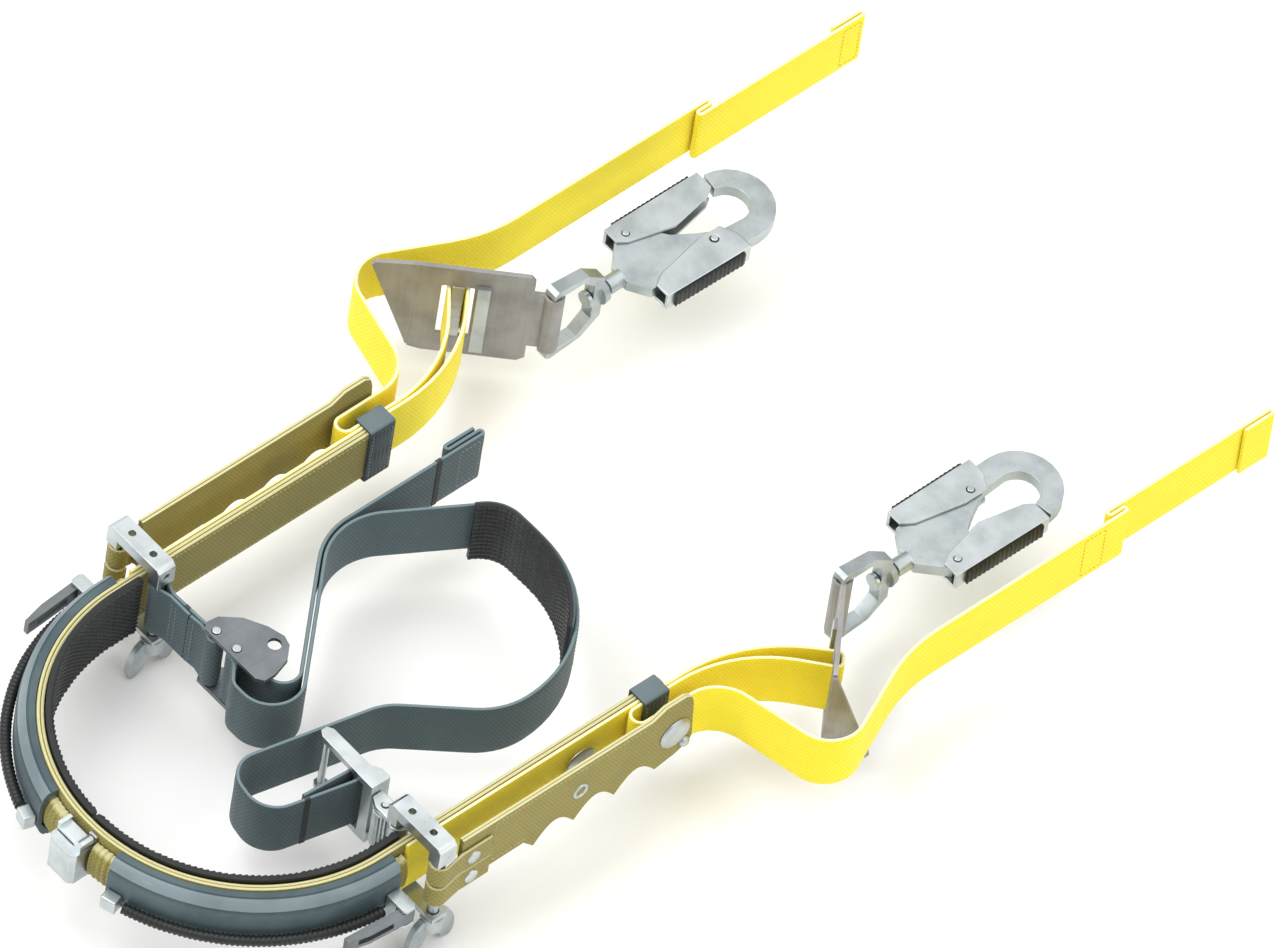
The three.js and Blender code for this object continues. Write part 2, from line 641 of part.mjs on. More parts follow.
function ribbedDrum() {
  const teeth = 20;
  const outline = [];
  for (let i = 0; i < teeth * 2; i++) {
    const radius = DRUM.radius - (i % 2 ? 0.9 : 0);
    const a = (Math.PI * i) / teeth;
    outline.push([DRUM.x + radius * Math.cos(a), DRUM.y + radius * Math.sin(a)]);
  }
  return carve([slab(outline, 6.5, 37.5), post(DRUM.x, DRUM.y, 2.2, 1, 43, 12)]);
}

// ---- assembly ------------------------------------------------------------------------------------
const model = new THREE.Group();

add(model, "inner_band", innerBand(), oliveWeb);
add(model, "centre_buckle_box", buckleBox(), steel);
add(model, "centre_latch_lever", latchLever(), steel);

for (const [side, way] of [["left", 1], ["right", -1]]) {
  const half = new THREE.Group();
  half.scale.y = way;
  model.add(half);
  const piece = (name, geometry, material) => add(half, `${name}_${side}`, geometry, material);

  piece("grip_liner", gripLiner(), blackRubber);
  piece("ribbed_core", ribbedCore(), oliveWeb);
  piece("bumper", bumper(), greyRubber);
  piece("tension_cable", tensionCable(), blackRubber);
  piece("cable_block", cableBlock(), steel);
  piece("toggle_base", toggleBase(), steel);
  piece("toggle_lever", toggleLever(), steel);

  piece("bridge_bar", bridgeBar(), steel);
  piece("lower_bar", lowerBar(), steel);
  piece("inner_bolt", clampBolt(INNER_BOLT_Y), steel);
  piece("outer_bolt", clampBolt(OUTER_BOLT_Y), steel);
  piece("inner_wing_nut", wingNut(INNER_BOLT_Y), steel);
  piece("outer_wing_nut", wingNut(OUTER_BOLT_Y), steel);

  piece("outer_plate", outerPlate(), oliveWeb);
  piece("keeper", keeper(), greyRubber);
  piece("arm_webbing", armWebbing(), yellowWeb);

  piece("adjuster_plate", adjusterPlate(...NOSE_FOLD[side]), greyPlate);
  piece("webbing_bar", webBar(), steel);
  piece("swivel_eye", swivelEye(), steel);

  piece("hook_body", hookBody(), steel);
  piece("hook_gate", hookGate(), steel);
  piece("lock_lever", lockLever(), steel);
  piece("gate_pin", hookPin(GATE_PIN), steel);
  piece("lock_pin", hookPin(LOCK_PIN), steel);
}

add(model, "anchor_strap", anchorStrap(), greyWeb);
add(model, "buckle_frame", buckleFrame(), greyPlate);
add(model, "buckle_anchor_bar", buckleBar(ANCHOR_BAR), steel);
add(model, "buckle_strap_bar", buckleBar(STRAP_BAR), steel);
add(model, "inner_strap", webbing(INNER_ROUTE), greyWeb);
add(model, "pole_pad", polePad(), blackRubber);
add(model, "strap_frame", strapFrame(), steel);
add(model, "cam_link", camLink(), steel);
add(model, "ribbed_drum", ribbedDrum(), steel);

// The part's origin is at the centre of its bounding box's lower face.
const box = new THREE.Box3().setFromObject(model);
const centre = box.getCenter(new THREE.Vector3());
model.position.set(-centre.x, -centre.y, -box.min.z);
const part = new THREE.Group();
part.add(model);

export default part;
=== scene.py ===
import math

import bpy
from mathutils import Matrix, Vector


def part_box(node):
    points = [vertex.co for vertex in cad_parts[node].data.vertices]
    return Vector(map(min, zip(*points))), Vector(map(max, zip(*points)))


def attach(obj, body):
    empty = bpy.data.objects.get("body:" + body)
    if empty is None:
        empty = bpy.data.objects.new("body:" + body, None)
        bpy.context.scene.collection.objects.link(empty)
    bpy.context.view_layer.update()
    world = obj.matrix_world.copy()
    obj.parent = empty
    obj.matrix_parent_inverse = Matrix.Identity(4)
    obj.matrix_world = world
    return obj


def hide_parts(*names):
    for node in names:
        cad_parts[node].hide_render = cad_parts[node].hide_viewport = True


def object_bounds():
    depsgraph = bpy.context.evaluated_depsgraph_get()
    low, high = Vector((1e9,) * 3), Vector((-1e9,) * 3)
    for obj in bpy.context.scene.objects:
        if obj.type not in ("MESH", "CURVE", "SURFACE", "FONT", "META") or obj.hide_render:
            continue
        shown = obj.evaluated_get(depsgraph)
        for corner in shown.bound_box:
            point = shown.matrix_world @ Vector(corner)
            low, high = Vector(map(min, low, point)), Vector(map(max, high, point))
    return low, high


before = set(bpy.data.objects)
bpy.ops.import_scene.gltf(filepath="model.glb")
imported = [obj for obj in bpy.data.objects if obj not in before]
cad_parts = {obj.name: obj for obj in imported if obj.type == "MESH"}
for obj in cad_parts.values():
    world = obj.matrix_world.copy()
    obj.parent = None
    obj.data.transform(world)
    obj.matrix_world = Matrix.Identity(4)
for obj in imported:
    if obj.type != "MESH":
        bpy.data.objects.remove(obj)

CAD_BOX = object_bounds()

# ---- places ---------------------------------------------------------------------------------------
# The design's own millimetres: x from the clamps along the arms, y to the climber's left, z from the
# webbing's lower edge. The band's front face and lower edge say where that lies in the frame.
MM = 0.001
WEB_WIDTH = 44.5
MID_Z = WEB_WIDTH / 2
BELLY_R = 127
BELLY_X = -22
BAND_THICK = 5
band_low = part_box("inner_band")[0]
ORIGIN = Vector((band_low.x + (BELLY_R + BAND_THICK / 2 - BELLY_X) * MM, 0, band_low.z))
SIDES = (("left", 1), ("right", -1))


def place(x, y, z):
    return Vector((x, y, z)) * MM + ORIGIN


# ---- camera ---------------------------------------------------------------------------------------
FRAME_WIDTH = 0.790  # metres across the picture
LENS = 1150
SENSOR = 36
VIEW_CENTRE = (299.7, 1.3, WEB_WIDTH)

view_az, view_el, roll = math.radians(-48.3), math.radians(51.9), math.radians(9.5)
back = Vector(
    (
        math.sin(view_az) * math.cos(view_el),
        -math.cos(view_az) * math.cos(view_el),
        math.sin(view_el),
    )
)
camera = bpy.data.objects.new("camera", bpy.data.cameras.new("camera"))
bpy.context.scene.collection.objects.link(camera)
bpy.context.scene.camera = camera
camera.data.lens = LENS
camera.data.sensor_width = SENSOR
camera.location = place(*VIEW_CENTRE) + back * FRAME_WIDTH * LENS / SENSOR
camera.rotation_mode = "QUATERNION"
level = (-back).to_track_quat("-Z", "Y").to_matrix().to_4x4()
camera.rotation_quaternion = (Matrix.Rotation(roll, 4, back) @ level).to_quaternion()
camera.data.clip_start, camera.data.clip_end = 1, 100


# ---- material graphs ------------------------------------------------------------------------------
def linear(r, g, b):
    """An sRGB colour, 0 to 255, as linear light."""

    def channel(v):
        return v / 255 / 12.92 if v < 11 else ((v / 255 + 0.055) / 1.055) ** 2.4

    return (channel(r), channel(g), channel(b), 1.0)


class Graph:
    """One material and short calls that add nodes to it."""

    def __init__(self, name, roughness=0.6, metallic=0.0):
        self.material = bpy.data.materials.new(name)
        self.material.use_nodes = True
        self.tree = self.material.node_tree
        self.shader = self.tree.nodes["Principled BSDF"]
        self.shader.inputs["Roughness"].default_value = roughness
        self.shader.inputs["Metallic"].default_value = metallic

    def feed(self, socket, value):
        if isinstance(value, bpy.types.NodeSocket):
            self.tree.links.new(value, socket)
        elif value is not None:
            socket.default_value = value

    def node(self, kind, **settings):
        made = self.tree.nodes.new(kind)
        for key, value in settings.items():
            setattr(made, key, value)
        return made

    def math(self, operation, a, b=None):
        made = self.node("ShaderNodeMath", operation=operation)
        self.feed(made.inputs[0], a)
        self.feed(made.inputs[1], b)
        return made.outputs[0]

    def ramp(self, value, low, high, to_low=0.0, to_high=1.0):
        made = self.node("ShaderNodeMapRange", interpolation_type="SMOOTHSTEP")
        for socket, number in zip(made.inputs, (value, low, high, to_low, to_high)):
            self.feed(socket, number)
        return made.outputs[0]

    def mix(self, factor, a, b):
        made = self.node("ShaderNodeMix", data_type="RGBA")
        self.feed(made.inputs["Factor"], factor)
        self.feed(made.inputs[6], a)
        self.feed(made.inputs[7], b)
        return made.outputs[2]

    def coordinates(self, kind):
        return self.node("ShaderNodeTexCoord").outputs[kind]

    def split(self, vector):
        made = self.node("ShaderNodeSeparateXYZ")
        self.feed(made.inputs[0], vector)
        return made.outputs

    def stretch(self, vector, scale):
        made = self.node("ShaderNodeMapping")
        self.feed(made.inputs["Vector"], vector)
        made.inputs["Scale"].default_value = scale
        return made.outputs[0]

    def noise(self, vector, scale, detail=3.0, roughness=0.55):
        made = self.node("ShaderNodeTexNoise")
        self.feed(made.inputs["Vector"], vector)
        made.inputs["Scale"].default_value = scale
        made.inputs["Detail"].default_value = detail
        made.inputs["Roughness"].default_value = roughness
        return made.outputs["Fac"]

    def edges(self, radius):
        """1 on convex and concave edges, 0 on flats."""
        bevel = self.node("ShaderNodeBevel", samples=4)
        bevel.inputs["Radius"].default_value = radius
        flat = self.node("ShaderNodeNewGeometry").outputs["Normal"]
        dot = self.node("ShaderNodeVectorMath", operation="DOT_PRODUCT")
        self.feed(dot.inputs[0], bevel.outputs[0])
        self.feed(dot.inputs[1], flat)
        return self.ramp(dot.outputs["Value"], 0.99, 0.85)

    def bump(self, height, distance, strength=1.0):
        made = self.node("ShaderNodeBump")
        self.feed(made.inputs["Height"], height)
        made.inputs["Distance"].default_value = distance
        made.inputs["Strength"].default_value = strength
        return made.outputs[0]

    def finish(self, colour=None, roughness=None, normal=None):
        self.feed(self.shader.inputs["Base Color"], colour)
        self.feed(self.shader.inputs["Roughness"], roughness)
        self.feed(self.shader.inputs["Normal"], normal)
        return self.material


def webbing_material(name, face, valley, edge, pitch=2.0):
    """Woven strap: staggered yarns along it, pale stray fibres, a painted highlight on its selvedges, where
    the faces turn up or down, and a little wear. UVs are in metres.
    """
    g = Graph(name, roughness=0.8)
    uv = g.split(g.coordinates("UV"))
    column = g.math("FLOOR", g.math("DIVIDE", uv[1], pitch * MM))
    along = g.math("ADD", g.math("DIVIDE", uv[0], 1.3 * pitch * MM), g.math("MULTIPLY", column, 0.5))
    yarn = g.math("ABSOLUTE", g.math("SINE", g.math("MULTIPLY", along, math.pi)))
    across = g.math("DIVIDE", uv[1], pitch * MM)
    rib = g.math("ABSOLUTE", g.math("SINE", g.math("MULTIPLY", across, math.pi)))
    weave = g.math("MULTIPLY", g.math("POWER", yarn, 0.6), g.math("POWER", rib, 0.5))
    place_noise = g.noise(g.coordinates("Object"), 38, 4)
    fibre = g.noise(g.stretch(g.coordinates("UV"), (300, 2600, 1)), 1.0, 2)
    colour = g.mix(g.ramp(weave, 0.0, 0.75), valley, face)
    colour = g.mix(g.ramp(place_noise, 0.42, 0.72, 0.0, 0.22), colour, valley)
    colour = g.mix(g.ramp(fibre, 0.45, 0.8, 0.0, 0.16), colour, edge)
    # painted highlight: the faces that turn up or down, the strap's selvedges, are mixed towards the pale
    # colour
    up = g.split(g.coordinates("Normal"))[2]
    colour = g.mix(g.ramp(g.math("ABSOLUTE", up), 0.35, 0.75), colour, edge)
    height = g.math("ADD", weave, g.math("MULTIPLY", fibre, 0.4))
    g.shader.inputs["Sheen Weight"].default_value = 0.12
    g.shader.inputs["Sheen Roughness"].default_value = 0.5
    return g.finish(colour, g.ramp(weave, 0.0, 1.0, 0.92, 0.7), g.bump(height, 0.00028, 0.8))


def rubber_material(name, face, dark, roughness=0.55):
    """Moulded rubber: a fine orange-peel skin, faint scuffs and paler rubbed edges."""
    g = Graph(name)
    at = g.coordinates("Object")
    broad, fine = g.noise(at, 24, 4), g.noise(at, 1900, 3)
    scuff = g.ramp(g.noise(g.stretch(at, (60, 60, 420)), 1.0, 5), 0.6, 0.74)
    colour = g.mix(g.ramp(broad, 0.35, 0.7), face, dark)
    pale = tuple(min(1.0, 1.45 * v + 0.02) for v in face[:3]) + (1.0,)
    colour = g.mix(g.math("MULTIPLY", scuff, 0.28), colour, pale)
    colour = g.mix(g.math("MULTIPLY", g.edges(0.0006), 0.35), colour, pale)
    worn = g.ramp(broad, 0.3, 0.7, roughness - 0.06, roughness + 0.08)
    rough = g.math("ADD", g.math("MULTIPLY", scuff, 0.16), worn)
    return g.finish(colour, rough, g.bump(fine, 0.00008, 0.6))


def steel_material(name, face, dark, roughness=0.3, grain=(25, 25, 900), metallic=1.0):
    """Plated steel: brushed grain, cloudy tarnish, small nicks and brighter rubbed edges."""
    g = Graph(name, metallic=metallic)
    at = g.coordinates("Object")
    brushed = g.noise(g.stretch(at, grain), 1.0, 4)
    cloud = g.noise(at, 45, 5)
    nicks = g.ramp(g.noise(at, 520, 2), 0.68, 0.76)
    colour = g.mix(g.ramp(cloud, 0.35, 0.75, 0.0, 0.6), face, dark)
    colour = g.mix(g.math("MULTIPLY", nicks, 0.5), colour, dark)
    bright = tuple(min(1.0, 1.15 * v + 0.05) for v in face[:3]) + (1.0,)
    colour = g.mix(g.math("MULTIPLY", g.edges(0.0007), 0.7), colour, bright)
    streaks = g.ramp(brushed, 0.3, 0.7, roughness - 0.07, roughness + 0.09)
    rough = g.math("ADD", streaks, g.math("MULTIPLY", cloud, 0.08))
    height = g.math("SUBTRACT", g.math("MULTIPLY", brushed, 0.5), nicks)
    return g.finish(colour, rough, g.bump(height, 0.00005, 0.7))


def thread_material(name, face, dark):
    """Sewing thread: a tight diagonal twist."""
    g = Graph(name, roughness=0.65)
    at = g.split(g.coordinates("Object"))
    twist = g.math("ADD", g.math("ADD", at[0], at[1]), at[2])
    wave = g.math("ABSOLUTE", g.math("SINE", g.math("MULTIPLY", twist, math.pi / (0.5 * MM))))
    return g.finish(g.mix(wave, dark, face), None, g.bump(wave, 0.00008, 0.6))


# each webbing's third colour serves its pale stray fibres and the painted highlight on its selvedges
YELLOW = webbing_material("yellow_webbing", linear(255, 238, 8), linear(240, 212, 0), linear(250, 244, 190))
OLIVE = webbing_material("olive_webbing", linear(152, 141, 66), linear(112, 103, 44), linear(202, 196, 146))
SLATE = webbing_material("slate_webbing", linear(78, 97, 101), linear(54, 69, 73), linear(108, 126, 130))
FINE_PITCH = 1.6
KEEPER = webbing_material(
    "keeper_webbing", linear(62, 76, 80), linear(38, 48, 51), linear(98, 112, 116), FINE_PITCH
)
BLACK_WEB = webbing_material(
    "black_webbing", linear(30, 33, 34), linear(12, 14, 14), linear(60, 64, 66), FINE_PITCH
)
SLATE_RUBBER = rubber_material("slate_rubber", linear(74, 92, 97), linear(58, 74, 79))
LIGHT_RUBBER = rubber_material("light_rubber", linear(124, 138, 142), linear(106, 120, 125), 0.5)
BLACK_RUBBER = rubber_material("black_rubber", linear(24, 28, 28), linear(14, 17, 17), 0.5)
STEEL = steel_material("plated_steel", linear(198, 204, 205), linear(146, 154, 157), 0.32)
FORGED_GRAIN, SHEET_GRAIN = (40, 40, 60), (30, 500, 30)
CAST = steel_material("forged_steel", linear(188, 195, 196), linear(130, 140, 143), 0.38, FORGED_GRAIN)
GREY_STEEL = steel_material(
    "grey_steel", linear(160, 158, 156), linear(128, 126, 124), 0.45, SHEET_GRAIN, 0.75
)
DARK_STEEL = steel_material(
    "dark_steel", linear(124, 129, 132), linear(98, 103, 106), 0.45, SHEET_GRAIN, 0.75
)
YELLOW_THREAD = thread_material("yellow_thread", linear(236, 205, 20), linear(176, 140, 0))
OLIVE_THREAD = thread_material("olive_thread", linear(206, 198, 132), linear(140, 130, 74))
GREY_THREAD = thread_material("grey_thread", linear(150, 162, 166), linear(84, 96, 100))


# ---- meshes ---------------------------------------------------------------------------------------
def build(name, verts, faces, materials, body, replaces=(), uvs=None, face_slots=None, sharp=40):
    """A smooth-shaded piece from plain lists. uvs holds one coordinate for each corner of each face."""
    mesh = bpy.data.meshes.new(name)
    mesh.from_pydata(verts, [], faces)
    for material in materials:
        mesh.materials.append(material)
    if face_slots:
        mesh.polygons.foreach_set("material_index", face_slots)
    if uvs:
        layer = mesh.uv_layers.new(name="UVMap")
        layer.data.foreach_set("uv", [c for face in uvs for corner in face for c in corner])
    mesh.polygons.foreach_set("use_smooth", [True] * len(mesh.polygons))
    mesh.update()
    mesh.set_sharp_from_angle(angle=math.radians(sharp))
    piece = bpy.data.objects.new(name, mesh)
    bpy.context.scene.collection.objects.link(piece)
    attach(piece, body)
    for node in replaces:
        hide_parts(node)
    return piece


def round_edges(piece, width, angle=30):
    bevel = piece.modifiers.new("round", "BEVEL")
    bevel.width = width * MM
    bevel.segments = 3
    bevel.limit_method = "ANGLE"
    bevel.angle_limit = math.radians(angle)
    bevel.harden_normals = True
    return piece


def mirrored(faces, way):
    return [face[::-1] for face in faces] if way < 0 else faces


def route(corners, step=6.0):
    """Corners [x, y, bend radius] joined by straight runs and arcs, as closely spaced points."""
    points = [Vector(corners[0][:2])]
    for before, (x, y, radius), after in zip(corners, corners[1:], corners[2:]):
        corner = Vector((x, y))
        to_before = (Vector(before[:2]) - corner).normalized()
        to_after = (Vector(after[:2]) - corner).normalized()
        turn = math.pi - math.acos(max(-1.0, min(1.0, to_before.dot(to_after))))
        start = corner + to_before * radius * math.tan(turn / 2)
        left = math.copysign(1, to_after.x * to_before.y - to_after.y * to_before.x)
        centre = start + Vector((to_before.y, -to_before.x)) * left * radius
        steps = max(3, math.ceil(turn / math.radians(step)))
        for k in range(steps + 1):
            spoke = start - centre
            spoke.rotate(Matrix.Rotation(left * turn * k / steps, 2))
            points.append(centre + spoke)
    points.append(Vector(corners[-1][:2]))
    return points


def respace(points, step=4.0):
    """The same path with its long runs cut to the step, and repeated points dropped."""
    same_place = 0.05
    kept = [points[0]]
    for point in points[1:]:
        length = (point - kept[-1]).length
        if length < same_place:
            continue
        start = kept[-1]
        cuts = max(1, math.ceil(length / step))
        kept += [start.lerp(point, k / cuts) for k in range(1, cuts + 1)]
    return kept


def lengths(points):
    """The distance along the path at each point."""
    run = [0.0]
    for a, b in zip(points, points[1:]):
        run.append(run[-1] + (b - a).length)
    return run


def stretch_of(points, start, end):
    """The part of a path between two distances along it."""
    run = lengths(points)
    kept = [p for p, s in zip(points, run) if start < s < end]
    return [along(points, run, start)[0]] + kept + [along(points, run, end)[0]]


def along(points, run, distance):
    """(point, direction) at a distance along the path."""
    for i in range(1, len(points)):
        if distance <= run[i] or i == len(points) - 1:
            part = (distance - run[i - 1]) / (run[i] - run[i - 1])
            return points[i - 1].lerp(points[i], part), (points[i] - points[i - 1]).normalized()


def strips(points):
    """(point, right-hand normal, distance) along the path, with the normal widened in bends."""
    run = lengths(points)
    for i, point in enumerate(points):
        before = (point - points[i - 1]).normalized() if i else None
        after = (points[i + 1] - point).normalized() if i + 1 < len(points) else None
        ahead = ((before or after) + (after or before)).normalized()
        widen = 1 / max(0.5, ahead.dot(after or before))
        yield point, Vector((ahead.y, -ahead.x)) * widen, run[i]


def sweep(name, points, profile, way, materials, body, replaces=(), bands=None, sharp=40):
    """Sweeps profile(distance) -> [(offset to the right, z)] along a path.

    bands gives a material slot to each side of the profile.
    """
    verts, faces, uvs, slots = [], [], [], []
    rows = list(strips(points))
    for point, right, distance in rows:
        for u, z in profile(distance):
            at = point + right * u
            verts.append(place(at.x, at.y * way, z))
    ring = profile(0.0)
    size = len(ring)
    girth = [0.0]
    for a, b in zip(ring, ring[1:] + ring[:1]):
        girth.append(girth[-1] + math.dist(a, b))
    for i in range(len(rows) - 1):
        s0, s1 = rows[i][2] * MM, rows[i + 1][2] * MM
        for j in range(size):
            k = (j + 1) % size
            v0, v1 = girth[j] * MM, girth[j + 1] * MM
            faces.append((i * size + j, i * size + k, (i + 1) * size + k, (i + 1) * size + j))
            uvs.append(((s0, v0), (s0, v1), (s1, v1), (s1, v0)))
            slots.append(bands[j] if bands else 0)
    end = (len(rows) - 1) * size
    for cap, distance in ((range(size - 1, -1, -1), rows[0][2]), (range(end, end + size), rows[-1][2])):
        faces.append(tuple(cap))
        uvs.append(tuple((distance * MM + ring[c % size][0] * MM, ring[c % size][1] * MM) for c in cap))
        slots.append(0)
    area = sum(a[0] * b[1] - b[0] * a[1] for a, b in zip(ring, ring[1:] + ring[:1]))
    if (area > 0) != (way < 0):
        faces = [face[::-1] for face in faces]
        uvs = [corner[::-1] for corner in uvs]
    return build(name, verts, faces, materials, body, replaces, uvs, slots, sharp)


def strap_profile(thick=2.4, z0=0.0, z1=WEB_WIDTH, offset=0.0, bead=0.12):
    """A woven strap's section: flat faces, full round selvedges and a slight bead beside them."""
    half = thick / 2
    turns = [math.pi * k / 6 for k in range(7)]
    flat = z1 - z0 - thick
    right = [
        (offset + half + (bead if k in (1, 5) else 0), z0 + half + flat * k / 6) for k in range(7)
    ]
    top = [(offset + half * math.cos(a), z1 - half + half * math.sin(a)) for a in turns[1:-1]]
    left = [(2 * offset - u, z) for u, z in right[::-1]]
    bottom = [(offset - half * math.cos(a), z0 + half - half * math.sin(a)) for a in turns[1:-1]]
    ring = right + top + left + bottom
    return lambda distance: ring


def strap(name, points, way, material, body, slot, replaces=(), **section):
    return sweep(name, respace(points), strap_profile(**section), way, [material], body, replaces)


def lathe(name, centre, axis, profile, material, body, sides=40, sharp=35):
    """Turns profile [(radius, height)] about an axis through centre. Heights run along the axis."""
    turn = Vector(axis).normalized().to_track_quat("Z", "Y")
    verts, faces = [], []
    for radius, height in profile:
        for i in range(sides):
            a = 2 * math.pi * i / sides
            spoke = turn @ Vector((radius * math.cos(a), radius * math.sin(a), height))
            verts.append(place(*centre) + spoke * MM)
    for i in range(len(profile) - 1):
        for j in range(sides):
            k = (j + 1) % sides
            faces.append((i * sides + j, i * sides + k, (i + 1) * sides + k, (i + 1) * sides + j))
    faces.append(tuple(range(sides - 1, -1, -1)))
    last = (len(profile) - 1) * sides
    faces.append(tuple(range(last, last + sides)))
    return build(name, verts, faces, [material], body, sharp=sharp)


def dome(radius, height, rim=0.8):
    """A low rivet or button head, from its face up."""
    steps = [math.pi / 2 * k / 7 for k in range(8)]
    cap = [(radius * math.cos(a) * 0.98, rim + (height - rim) * math.sin(a)) for a in steps[:-1]]
    return [(radius * 0.94, 0), (radius, rim * 0.3), (radius, rim * 0.8)] + cap + [(0.3, height)]


def eyelet(inner, outer, height):
    """A rolled eyelet ring: its face, over the roll and down into the hole."""
    mid, half = (inner + outer) / 2, (outer - inner) / 2
    roll = [(mid + half * math.cos(a), height * math.sin(a)) for a in (math.pi * k / 8 for k in range(9))]
    return [(outer, -0.2)] + roll + [(inner, -2.5), (inner + 0.3, -2.6), (outer - 0.4, -0.3)]


def ring_lathe(name, centre, axis, profile, material, body, sides=36):
    """As lathe, for a closed profile round an open hole."""
    turn = Vector(axis).normalized().to_track_quat("Z", "Y")
    size = len(profile)
    verts, faces = [], []
    for i in range(sides):
        a = 2 * math.pi * i / sides
        for radius, height in profile:
            spoke = turn @ Vector((radius * math.cos(a), radius * math.sin(a), height))
            verts.append(place(*centre) + spoke * MM)
    for i in range(sides):
        for j in range(size):
            n, k = (i + 1) % sides, (j + 1) % size
            faces.append((i * size + j, n * size + j, n * size + k, i * size + k))
    return build(name, verts, faces, [material], body, sharp=50)


def slab(name, outline, low, high, to_frame, material, body, replaces=(), width=0.6, flip=False):
    """A flat outline raised from low to high, with rounded edges.

    to_frame turns (a, b, height) into a place.
    """
    area = sum(p[0] * q[1] - q[0] * p[1] for p, q in zip(outline, outline[1:] + outline[:1]))
    if area < 0:
        outline = outline[::-1]
    size = len(outline)
    verts = [to_frame(a, b, low) for a, b in outline] + [to_frame(a, b, high) for a, b in outline]
    faces = [tuple(range(size - 1, -1, -1)), tuple(range(size, 2 * size))]
    faces += [(j, (j + 1) % size, size + (j + 1) % size, size + j) for j in range(size)]
    if flip:
        faces = [face[::-1] for face in faces]
    uvs = [tuple((verts[c].x + verts[c].y * 0.3, verts[c].z) for c in face) for face in faces]
    piece = build(name, verts, faces, [material], body, replaces, uvs, sharp=30)
    return round_edges(piece, width)


class Stitches:
    """Sewn threads, gathered into one mesh: each stitch is a short spindle half sunk in the strap."""

    def __init__(self, way=1):
        self.verts, self.faces, self.way = [], [], way

    def line(self, start, end, out, pitch=3.4, length=2.5, radius=0.42):
        start, end, out = Vector(start), Vector(end), Vector(out).normalized()
        count = max(1, round((end - start).length / pitch))
        ahead = (end - start).normalized()
        side = ahead.cross(out)
        for i in range(count):
            middle = start.lerp(end, (i + 0.5) / count)
            base = len(self.verts)
            for t, r in ((-1, 0.25), (-0.6, 0.9), (0, 1), (0.6, 0.9), (1, 0.25)):
                for k in range(6):
                    a = math.tau * k / 6
                    spoke = (side * math.cos(a) + out * math.sin(a)) * r * radius
                    at = middle + ahead * t * length / 2 + spoke - out * 0.35 * t * t * radius
                    self.verts.append(place(at.x, at.y * self.way, at.z))
            for ring in range(4):
                for k in range(6):
                    a, b = base + ring * 6 + k, base + ring * 6 + (k + 1) % 6
                    self.faces.append((a, b, b + 6, a + 6))
            self.faces.append(tuple(range(base + 5, base - 1, -1)))
            self.faces.append(tuple(range(base + 24, base + 30)))

    def along(self, points, side, z, start, end, pitch=3.4):
        """A seam that follows a path at one height, on the side at that offset."""
        run = lengths(points)
        count = max(2, round((end - start) / pitch))
        spots = []
        for i in range(count + 1):
            at, ahead = along(points, run, start + (end - start) * i / count)
            right = Vector((ahead.y, -ahead.x))
            spots.append((at + right * side, right * (1 if side > 0 else -1)))
        for (a, out), (b, _) in zip(spots, spots[1:]):
            self.line((a.x, a.y, z), (b.x, b.y, z), (out.x, out.y, 0), pitch=99, length=(b - a).length * 0.74)

    def across(self, points, side, distance, z0=4.0, z1=WEB_WIDTH - 4.0):
        """A seam across the strap, from edge to edge."""
        at, ahead = along(points, lengths(points), distance)
        right = Vector((ahead.y, -ahead.x))
        out = right * (1 if side > 0 else -1)
        at = at + right * side
        self.line((at.x, at.y, z0), (at.x, at.y, z1), (out.x, out.y, 0))

    def box(self, points, side, start, end, z0=5.0, z1=WEB_WIDTH - 5.0, cross=True):
        """A stitched rectangle with a cross in it."""
        for z in (z0, z1):
            self.along(points, side, z, start, end)
        for distance in (start, end):
            self.across(points, side, distance, z0, z1)
        if cross:
            run = lengths(points)
            ends = [along(points, run, d) for d in (start, end)]
            spots = [at + Vector((ahead.y, -ahead.x)) * side for at, ahead in ends]
            out = Vector((ends[0][1].y, -ends[0][1].x)) * (1 if side > 0 else -1)
            for za, zb in ((z0, z1), (z1, z0)):
                self.line((*spots[0], za), (*spots[1], zb), (out.x, out.y, 0))

    def sew(self, name, material, body):
        return build(name, self.verts, mirrored(self.faces, -self.way), [material], body)


def carried(node, material, width):
    """A CAD solid that stays, with its edges rounded and a better material."""
    angle = 32
    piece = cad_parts[node]
    piece.data.materials.clear()
    piece.data.materials.append(material)
    piece.data.polygons.foreach_set("use_smooth", [True] * len(piece.data.polygons))
    piece.data.set_sharp_from_angle(angle=math.radians(angle))
    weld = piece.modifiers.new("weld", "WELD")
    weld.merge_threshold = 0.00001
    flats = piece.modifiers.new("flats", "DECIMATE")
    flats.decimate_type = "DISSOLVE"
    flats.angle_limit = math.radians(1)
    round_edges(piece, width, angle)
    piece.modifiers.new("shade", "WEIGHTED_NORMAL").keep_sharp = True


# ---- the belly ------------------------------------------------------------------------------------
ARM_END = 206
GAP, THICK, LAYER = 0.3, 2.4, 3.4
RIB_STEP = 1.05  # along a ribbed strip, fine enough for its teeth


def belly_line(from_deg, to_x, to_deg=90):
    """The band's centreline from an angle off the front, round to the arm and on to an x."""
    steps = 60
    points = []
    for i in range(steps + 1):
        a = math.radians(from_deg + (to_deg - from_deg) * i / steps)
        points.append(Vector((BELLY_X - BELLY_R * math.cos(a), BELLY_R * math.sin(a))))
    if to_x > BELLY_X:
        points.append(Vector((to_x, BELLY_R)))
    return respace(points, 3.0)


